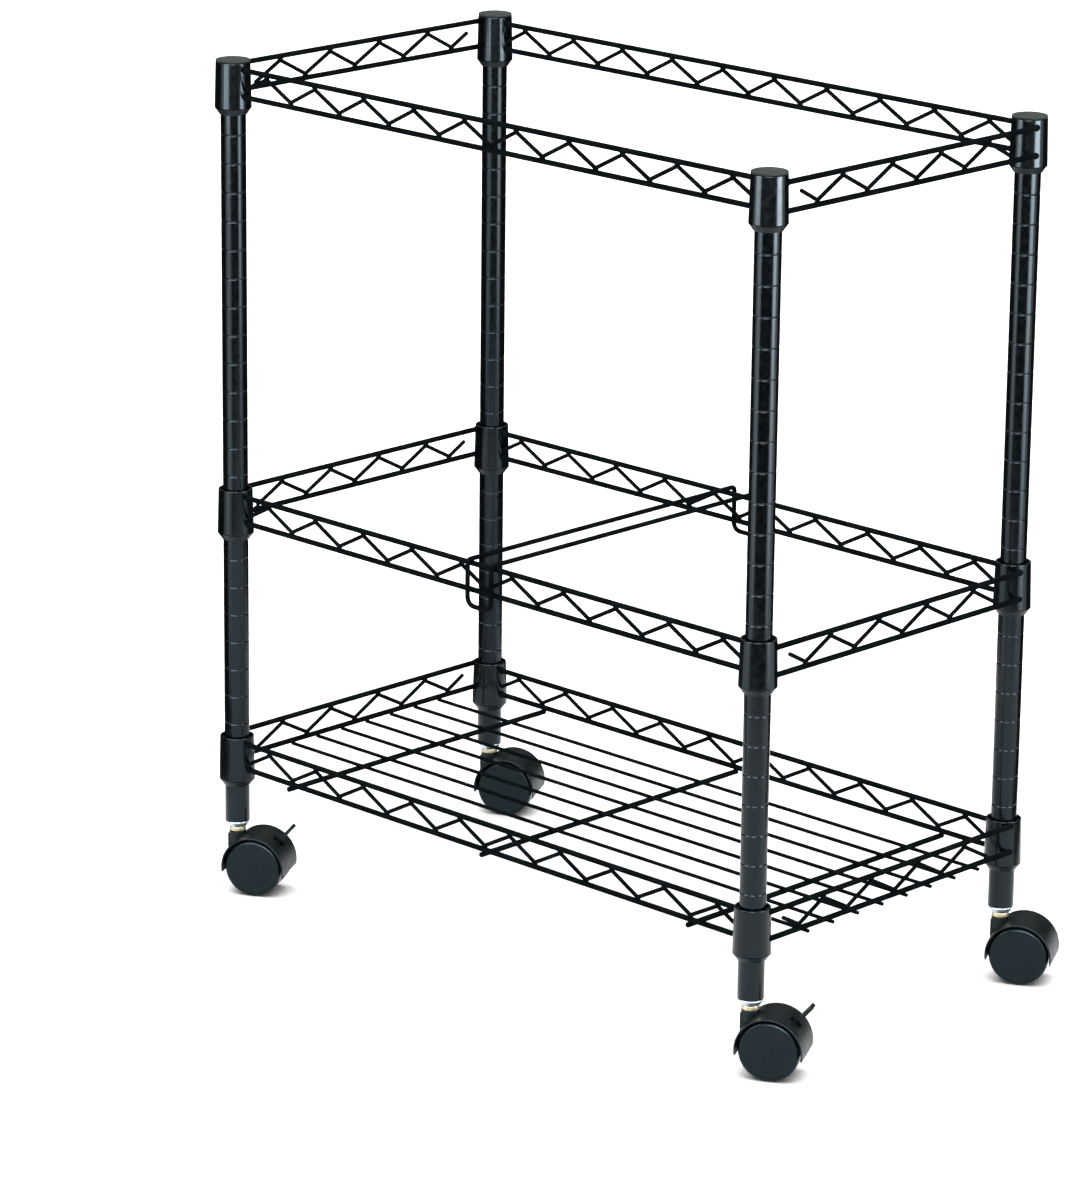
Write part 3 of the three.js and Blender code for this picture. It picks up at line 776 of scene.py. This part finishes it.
def end_frame_mesh(lift):
    """The right end frame with its collars' rims at height 0, seen along its own X."""
    high = -RAIL_DROP + lift
    low = high - RAIL_GAP
    half = POSTS["rear_right"].y - RAIL_END
    bends = zigzag(SHORT_FIRST, SHORT_BENDS, high, low, False)
    path = rounded([bends[0] + FREE_END] + bends, BEND_RADIUS)
    wires = [(path, ZIGZAG_RADIUS, False)]
    for height in (low, high):
        wires.append(([(-half, 0, height), (half, 0, height)], RAIL_RADIUS, False))
    outset = Matrix.Translation((0, -RAIL_OUTSET, 0))
    pieces = [(drawn_wires(wires), outset)]
    beads = bend_beads(bends, low, high)
    leaves = POSTS["rear_right"].y - math.sqrt(COLLAR_RIM ** 2 - RAIL_OUTSET ** 2)
    for height in (low, high):
        for side in (-1, 1):
            beads.append(weld_bead((side * leaves, 0.6 * MM, height), RAIL_BEAD))
    for bead, place in beads:
        pieces.append((bead, outset @ place))
    for side in (-1, 1):
        pieces.append((collar_mesh(), Matrix.Translation((side * POSTS["rear_right"].y, 0, 0))))
    return gathered(pieces)


for tier in TIERS:
    end_frame = end_frame_mesh(SHELF_LIFT if tier == "bottom" else 0)
    for side, corner, turn in (("right", "front_right", math.pi / 2), ("left", "front_left", -math.pi / 2)):
        placement = Matrix.Translation((POSTS[corner].x, 0, RIM[tier])) @ Matrix.Rotation(turn, 4, "Z")
        show_piece(f"end_frame_{tier}_{side}", end_frame, placement, [coated_wire, coated_steel],
                   "cart", f"{tier}_{side}_end_frame")
    print(tier, "end frames,", len(end_frame.polygons), "faces each")

# %% [markdown]
# ## The wire shelf
# Eight deck wires run the length of the shelf on three stouter cross wires, and all of them stick out a little
# past the rails they are welded under. An Array modifier would repeat them too. A loop keeps the pitch and the
# ends in plain sight.

# %% Shelf grid
DECK_WIRES = 8
DECK_PITCH = 31 * MM
DECK_RADIUS = 1.65 * MM
CROSS_WIRES = 3
CROSS_PITCH = 241 * MM


def shelf_grid_mesh():
    low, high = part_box("bottom_shelf_grid")
    cross_height = RIM["bottom"] - RAIL_DROP - RAIL_GAP - 2 * RAIL_RADIUS + 0.1 * MM
    deck_height = cross_height + RAIL_RADIUS + DECK_RADIUS - 0.4 * MM
    wires = []
    for k in range(DECK_WIRES):
        y = (k - (DECK_WIRES - 1) / 2) * DECK_PITCH
        wires.append(([(low.x, y, deck_height), (high.x, y, deck_height)], DECK_RADIUS, False))
    for k in range(CROSS_WIRES):
        x = (k - (CROSS_WIRES - 1) / 2) * CROSS_PITCH
        wires.append(([(x, low.y, cross_height), (x, high.y, cross_height)], RAIL_RADIUS, False))
    return drawn_wires(wires)


shelf_grid = shelf_grid_mesh()
show_piece("shelf_wires", shelf_grid, STILL, [coated_wire], "cart", "bottom_shelf_grid")
print("shelf of", DECK_WIRES, "+", CROSS_WIRES, "wires")

# %% [markdown]
# ## The divider
# One closed loop of wire is bent over the front and rear rails of the middle frame and slides along them. Its
# eight corners are rounded by two different bends: tight ones over the rails, wide ones at the feet. A cyclic
# curve closes it without a seam.

# %% Divider
DIVIDER_RADIUS = 2.1 * MM
DIVIDER_HALF = 14 * MM
FOLD_RADIUS = 4 * MM
FOOT_RADIUS = 9 * MM


def divider_mesh():
    low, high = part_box("file_divider")
    top = RIM["middle"] - RAIL_DROP + RAIL_RADIUS + DIVIDER_RADIUS + 0.15 * MM
    foot = low.z + DIVIDER_RADIUS
    reach = high.y - DIVIDER_RADIUS
    path = []
    for side in (-1, 1):
        drop = [
            Vector((-side * DIVIDER_HALF, 0, top)), Vector((-side * DIVIDER_HALF, side * reach, top)),
            Vector((-side * DIVIDER_HALF, side * reach, foot)), Vector((side * DIVIDER_HALF, side * reach, foot)),
            Vector((side * DIVIDER_HALF, side * reach, top)), Vector((side * DIVIDER_HALF, 0, top)),
        ]
        fold_down = rounded(drop[0:3], FOLD_RADIUS, 6)[:-1]
        feet = rounded(drop[1:5], FOOT_RADIUS, 8)[1:-1]
        fold_up = rounded(drop[3:6], FOLD_RADIUS, 6)[1:-1]
        path += fold_down + feet + fold_up
    return drawn_wires([(path, DIVIDER_RADIUS, True)])


divider = divider_mesh()
show_piece("bent_divider", divider, STILL, [coated_wire], "divider", "file_divider")
print("divider,", len(divider.polygons), "faces")

# %% [markdown]
# ## Caster mounts
# A zinc bushing is pressed into the foot of each post, and the caster's yellow zinc stem runs up into it. Their
# stacked rings are the only bright metal on the cart, so both get real lips and eased edges.

# %% Bushings and stems
STEM_RADIUS = 3.9 * MM
STEM_LOW, STEM_HIGH = (end.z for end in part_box("caster_stem_front_left"))
SHOULDER_RADIUS = 7.5 * MM
SHOULDER_LOW, SHOULDER_HIGH = 55.7 * MM, 59.5 * MM
BUSHING_HOLE = 4.3 * MM
BUSHING_LOW, BUSHING_HIGH = (end.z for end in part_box("post_insert_front_left"))
BUSHING_FOOT, BUSHING_LIP = 8.2 * MM, 10.9 * MM


def bushing_mesh():
    seat = POST_LOW - CLEARANCE
    lip = [
        (BUSHING_FOOT, BUSHING_LOW), (BUSHING_LIP, seat - 1 * MM), (BUSHING_LIP, seat), (PLUG_RADIUS, seat),
        (PLUG_RADIUS, BUSHING_HIGH), (BUSHING_HOLE, BUSHING_HIGH), (BUSHING_HOLE, BUSHING_LOW),
    ]
    return turned([tuple(point) for point in rounded(lip, 0.35 * MM, 3, True)])


def stem_mesh():
    foot, tip = 0.5 * MM, 1.2 * MM
    outline = [
        (0, STEM_LOW), (STEM_RADIUS - foot, STEM_LOW), (STEM_RADIUS, STEM_LOW + foot), (STEM_RADIUS, SHOULDER_LOW),
        (SHOULDER_RADIUS, SHOULDER_LOW), (SHOULDER_RADIUS, SHOULDER_HIGH), (STEM_RADIUS, SHOULDER_HIGH),
        (STEM_RADIUS, STEM_HIGH - tip), (STEM_RADIUS - tip, STEM_HIGH), (0, STEM_HIGH),
    ]
    ring = [tuple(point) for point in rounded(outline[3:7], 0.5 * MM, 3)]
    return turned(outline[:3] + ring + outline[7:])


bushing, stem = bushing_mesh(), stem_mesh()
for corner, place in POSTS.items():
    placement = Matrix.Translation(place)
    show_piece(f"zinc_bushing_{corner}", bushing, placement, [zinc_steel],
               "cart", f"post_insert_{corner}")
    show_piece(f"yellow_stem_{corner}", stem, placement, [yellow_zinc],
               "cart", f"caster_stem_{corner}")
print("bushings and stems,", len(bushing.polygons) + len(stem.polygons), "faces a pair")

# %% [markdown]
# ## Caster hoods
# The hood is one moulding: an arch over both wheels, a web between them that holds the axle, and a neck that turns
# on the stem. It is made as a pattern maker would: an arch swept from its section, a web cut from plate, a turned
# neck, joined by booleans, with the pocket of the brake pedal cut out last.

# %% Outlines in the caster's side view
AXLE_PLACE = {corner: middle_of(f"caster_axle_{corner}") for corner in CORNERS}
TRAIL_WAY = AXLE_PLACE["front_left"] - POSTS["front_left"]
TRAIL = Vector((TRAIL_WAY.x, TRAIL_WAY.y)).length
CASTER_TURN = math.atan2(TRAIL_WAY.y, TRAIL_WAY.x)
WHEEL_RADIUS = AXLE_PLACE["front_left"].z
CASTER = {corner: Matrix.Translation(POSTS[corner]) @ Matrix.Rotation(CASTER_TURN, 4, "Z") for corner in CORNERS}
HOOD_RADIUS = 29 * MM
HOOD_WALL = 1.2 * MM
HOOD_HALF = 21 * MM
HOOD_DIP = 10


def about_axle(radius, degrees):
    """A point of the side view (trail, height), by its radius and angle about the axle."""
    angle = math.radians(degrees)
    return Vector((TRAIL + radius * math.cos(angle), WHEEL_RADIUS + radius * math.sin(angle)))


def arc(radius, start, end, steps):
    return [about_axle(radius, start + (end - start) * k / steps) for k in range(steps + 1)]


print("casters trail", round(TRAIL / MM, 1), "mm at", round(math.degrees(CASTER_TURN), 1), "degrees")


# %% Solids of the hood
def plate(outline, half_width):
    """A solid cut from plate: an outline of the side view, as thick as twice half_width."""
    work = bmesh.new()
    near = [work.verts.new((x, -half_width, z)) for x, z in outline]
    far = [work.verts.new((x, half_width, z)) for x, z in outline]
    count = len(outline)
    for i in range(count):
        j = (i + 1) % count
        work.faces.new((near[i], near[j], far[j], far[i]))
    work.faces.new(near)
    work.faces.new(far)
    bmesh.ops.recalc_face_normals(work, faces=work.faces)
    mesh = bpy.data.meshes.new("plate")
    work.to_mesh(mesh)
    work.free()
    return mesh


def arch_mesh():
    """The arch: its section, with the outer edges eased, carried round the axle."""
    inside = HOOD_RADIUS - HOOD_WALL
    section = [(-HOOD_HALF, inside), (-HOOD_HALF, HOOD_RADIUS), (HOOD_HALF, HOOD_RADIUS), (HOOD_HALF, inside)]
    eased = held(rounded(section, 0.8 * MM, 4))
    steps = 56
    work = bmesh.new()
    rings = []
    for k in range(steps + 1):
        degrees = -HOOD_DIP + (180 + 2 * HOOD_DIP) * k / steps
        ring = []
        for across, radius in eased:
            trail, height = about_axle(radius, degrees)
            ring.append(work.verts.new((trail, across, height)))
        rings.append(ring)
    count = len(eased)
    for here, there in zip(rings, rings[1:]):
        for i in range(count):
            j = (i + 1) % count
            work.faces.new((here[i], here[j], there[j], there[i]))
    work.faces.new(rings[0])
    work.faces.new(rings[-1])
    bmesh.ops.recalc_face_normals(work, faces=work.faces)
    mesh = bpy.data.meshes.new("arch")
    work.to_mesh(mesh)
    work.free()
    return mesh


print("arch,", len(arch_mesh().polygons), "faces")


# %% Joining and cutting
def combined(mesh, tools):
    """The mesh after a row of booleans. Each tool is (mesh, "UNION" or "DIFFERENCE")."""
    base = bpy.data.objects.new("base", mesh)
    bpy.context.collection.objects.link(base)
    helpers = []
    for tool, operation in tools:
        helper = bpy.data.objects.new("tool", tool)
        bpy.context.collection.objects.link(helper)
        helpers.append(helper)
        step = base.modifiers.new(operation, "BOOLEAN")
        step.operation = operation
        step.solver = "EXACT"
        step.object = helper
    seen = base.evaluated_get(bpy.context.evaluated_depsgraph_get())
    result = bpy.data.meshes.new_from_object(seen)
    for item in helpers + [base]:
        bpy.data.objects.remove(item)
    return result


# %% Hoods
HUB_RADIUS = 8 * MM
WEB_HALF = 5 * MM
WEB_REAR = 15
NECK_RADIUS = 7.5 * MM
NECK_LOW, NECK_HIGH = 45 * MM, 55.4 * MM
AXLE_RADIUS = 3 * MM
POCKET_ANGLES = (22, 68)
SLOT_ANGLES = (39, 60)
POCKET_HALF = 3.6 * MM
POCKET_DEPTH = 12.5 * MM
PEDAL_DEGREES = 49
PEDAL_PIVOT = about_axle(21 * MM, PEDAL_DEGREES)
PIN_RADIUS = 1.8 * MM
OVERCUT = 2 * MM


def web_outline():
    """The web from the front of the neck, over the top, round the hub and back up the front of the arch."""
    reach = HOOD_RADIUS - HOOD_WALL / 2
    front = math.degrees(math.acos(-(TRAIL + NECK_RADIUS) / reach))
    outline = [Vector((-NECK_RADIUS, NECK_HIGH - 3 * MM)), Vector((0, NECK_HIGH - 3 * MM))]
    outline += arc(reach, 90, WEB_REAR, 20)
    outline += arc(HUB_RADIUS, WEB_REAR, -180 + HOOD_DIP, 20)
    outline += arc(reach, 180 + HOOD_DIP, front, 10)
    return outline


def neck_mesh():
    outline = [(0, NECK_LOW), (NECK_RADIUS, NECK_LOW), (NECK_RADIUS, NECK_HIGH), (0, NECK_HIGH)]
    return turned([tuple(point) for point in rounded(outline, 0.6 * MM)], 48)


def round_hole(centre, radius):
    """A rod across the caster, as a tool for cutting a hole through the web."""
    sides = 24
    turns = [math.tau * k / sides for k in range(sides)]
    return plate([centre + Vector((math.cos(turn), math.sin(turn))) * radius for turn in turns], WEB_HALF + OVERCUT)


def stem_hole():
    low, high = STEM_LOW - CLEARANCE, NECK_HIGH + OVERCUT
    return turned([(0, low), (BUSHING_HOLE, low), (BUSHING_HOLE, high), (0, high)], 32)


def hood_mesh(has_brake):
    tools = [(plate(web_outline(), WEB_HALF), "UNION"), (neck_mesh(), "UNION"), (stem_hole(), "DIFFERENCE")]
    tools.append((round_hole(about_axle(0, 0), AXLE_RADIUS + CLEARANCE), "DIFFERENCE"))
    if has_brake:
        pocket = arc(POCKET_DEPTH, *POCKET_ANGLES, 10)
        pocket += reversed(arc(HOOD_RADIUS + OVERCUT, *SLOT_ANGLES, 16))
        tools.append((plate(pocket, POCKET_HALF), "DIFFERENCE"))
        tools.append((round_hole(PEDAL_PIVOT, PIN_RADIUS + CLEARANCE), "DIFFERENCE"))
    return combined(arch_mesh(), tools)


BRAKED = ("front_left", "front_right")
plain_hood, braked_hood = hood_mesh(False), hood_mesh(True)
for corner in CORNERS:
    hood = braked_hood if corner in BRAKED else plain_hood
    show_piece(f"moulded_hood_{corner}", hood, CASTER[corner], [black_plastic],
               f"caster_{corner}", f"caster_hood_{corner}")
print("hoods,", len(plain_hood.polygons), "or with a pocket", len(braked_hood.polygons), "faces")

# %% [markdown]
# ## Wheels and axles
# A wheel is a plain disc of hard plastic: a flat face, very slightly dished, with a generous round edge into the
# tread. It is turned like the posts and then laid on its side. The axle is a short pin that ends inside both wheels.

# %% Wheels and axles
WHEEL_INNER = 5.5 * MM
WHEEL_OUTER = 20 * MM
WHEEL_EDGE = 4.2 * MM
AXLE_BORE = AXLE_RADIUS + CLEARANCE
BORE_DEPTH = 17 * MM
DISH_DEPTH = 0.35 * MM


def wheel_mesh():
    """A wheel turned about Z, with its inner face down."""
    rim = [(AXLE_BORE, WHEEL_INNER), (WHEEL_RADIUS, WHEEL_INNER), (WHEEL_RADIUS, WHEEL_OUTER), (0, WHEEL_OUTER)]
    tread = rounded(rim[:3], 0.6 * MM, 3)[:-1]
    face = rounded(rim[1:], WHEEL_EDGE, 8)[1:-1]
    dish_edge = WHEEL_RADIUS - WHEEL_EDGE - 1.2 * MM
    dish = [(dish_edge, WHEEL_OUTER), (dish_edge - 1.2 * MM, WHEEL_OUTER - DISH_DEPTH), (0, WHEEL_OUTER - DISH_DEPTH)]
    bore = [(0, BORE_DEPTH), (AXLE_BORE, BORE_DEPTH)]
    outline = [tuple(point) for point in tread + face] + dish + bore
    return turned(outline, 96)


def axle_mesh():
    half = BORE_DEPTH - CLEARANCE
    outline = [
        (0, -half), (AXLE_RADIUS - 0.4 * MM, -half), (AXLE_RADIUS, -half + 0.4 * MM),
        (AXLE_RADIUS, half - 0.4 * MM), (AXLE_RADIUS - 0.4 * MM, half), (0, half),
    ]
    return turned(outline, 32)


wheel, axle = wheel_mesh(), axle_mesh()
for corner in CORNERS:
    hub = CASTER[corner] @ Matrix.Translation((TRAIL, 0, WHEEL_RADIUS))
    for side, tip in (("near", math.pi / 2), ("far", -math.pi / 2)):
        show_piece(f"disc_wheel_{side}_{corner}", wheel, hub @ Matrix.Rotation(tip, 4, "X"), [wheel_plastic],
                   f"wheel_{side}_{corner}", f"caster_wheel_{side}_{corner}")
    show_piece(f"axle_pin_{corner}", axle, hub @ Matrix.Rotation(math.pi / 2, 4, "X"), [zinc_steel],
               f"caster_{corner}", f"caster_axle_{corner}")
print("eight wheels,", len(wheel.polygons), "faces each")

# %% [markdown]
# ## Brake pedals
# Each front caster has a small pedal: a stalk on a cross pin, widening to a thin foot plate that stands out of the
# hood. The plate is cut from an outline with round corners, and a Bevel modifier eases its edges as moulding
# does.

# %% Brake pedals
PEDAL_TIP = 28.5 * MM
PEDAL_INNER = -6 * MM
PEDAL_NECK = 12 * MM
PEDAL_HALF = 6 * MM
STALK_HALF = 3.2 * MM
PEDAL_THICK = 3.2 * MM
PIN_HALF = 4.7 * MM


def foot_plate():
    """The pedal's plate lying flat, with its pivot at the origin and its tip towards +X."""
    neck = PEDAL_NECK - PEDAL_HALF / 2
    corners = [
        (PEDAL_INNER, -STALK_HALF), (neck, -STALK_HALF), (PEDAL_NECK, -PEDAL_HALF), (PEDAL_TIP, -PEDAL_HALF),
        (PEDAL_TIP, PEDAL_HALF), (PEDAL_NECK, PEDAL_HALF), (neck, STALK_HALF), (PEDAL_INNER, STALK_HALF),
    ]
    outline = rounded(corners, 1.5 * MM, 5, True)
    upright = plate([(x, y) for x, y in outline], PEDAL_THICK / 2)
    upright.transform(Matrix.Rotation(-math.pi / 2, 4, "X"))
    return upright


def pedal_mesh():
    pin = turned([(0, -PIN_HALF), (PIN_RADIUS, -PIN_HALF), (PIN_RADIUS, PIN_HALF), (0, PIN_HALF)], 32)
    pin.transform(Matrix.Rotation(math.pi / 2, 4, "X"))
    body = combined(foot_plate(), [(pin, "UNION")])
    holder = bpy.data.objects.new("pedal", body)
    bpy.context.collection.objects.link(holder)
    bevel = holder.modifiers.new("eased edges", "BEVEL")
    bevel.width = 0.5 * MM
    bevel.segments = 3
    bevel.limit_method = "ANGLE"
    seen = holder.evaluated_get(bpy.context.evaluated_depsgraph_get())
    mesh = bpy.data.meshes.new_from_object(seen)
    bpy.data.objects.remove(holder)
    return mesh


pedal = pedal_mesh()
for corner in BRAKED:
    pivot = Matrix.Translation((PEDAL_PIVOT.x, 0, PEDAL_PIVOT.y)) @ Matrix.Rotation(-math.radians(PEDAL_DEGREES), 4, "Y")
    show_piece(f"foot_pedal_{corner}", pedal, CASTER[corner] @ pivot, [black_plastic],
               f"pedal_{corner}", f"brake_pedal_{corner}")
print("two pedals,", len(pedal.polygons), "faces each")

# %% [markdown]
# ## Sizes
# The finer meshes must not make the cart any bigger than its CAD model, whose box is printed here.

# %% Print the CAD box
print("CAD box in mm", [round(1000 * side, 1) for side in cad_high - cad_low])
